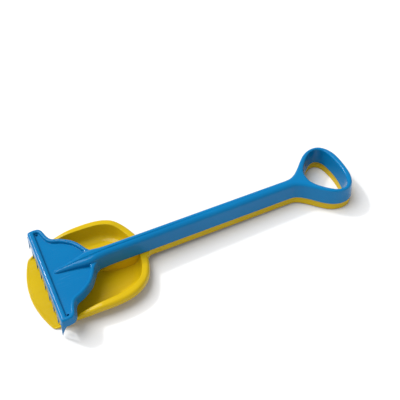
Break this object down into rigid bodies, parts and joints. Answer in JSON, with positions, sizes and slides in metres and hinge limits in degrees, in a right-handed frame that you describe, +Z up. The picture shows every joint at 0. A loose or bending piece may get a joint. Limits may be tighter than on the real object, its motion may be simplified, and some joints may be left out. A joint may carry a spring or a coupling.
{
  "type": "beach sand scoop and rake set",
  "caption": "Long-handled child's sand scoop with a rolled lip and D-grip, with a matching toothed rake stacked on its channel handle.",
  "frame": {"origin": "centre of the base: middle of the overall box in X and Y, on the ground plane under the blade", "axes": "+X along the handle from the blade to the grip, +Y across the blade, +Z up with the hollow side of the channel handles facing down"},
  "size_m": [0.5276, 0.1666, 0.0506],
  "materials": {
    "scoop_plastic": "glossy moulded polypropylene, warm yellow",
    "rake_plastic": "glossy moulded polypropylene, cyan blue"
  },
  "bodies": {
    "scoop": {"scoop_bowl": "scoop_plastic", "scoop_shaft": "scoop_plastic", "scoop_grip": "scoop_plastic"},
    "rake": {"rake_head": "rake_plastic", "rake_shaft": "rake_plastic", "rake_grip": "rake_plastic"}
  },
  "joints": [
    {"name": "rake_lift", "type": "slide", "parent": "scoop", "child": "rake", "axis": [0, 0, 1], "range_m": [0, 0.08]}
  ]
}
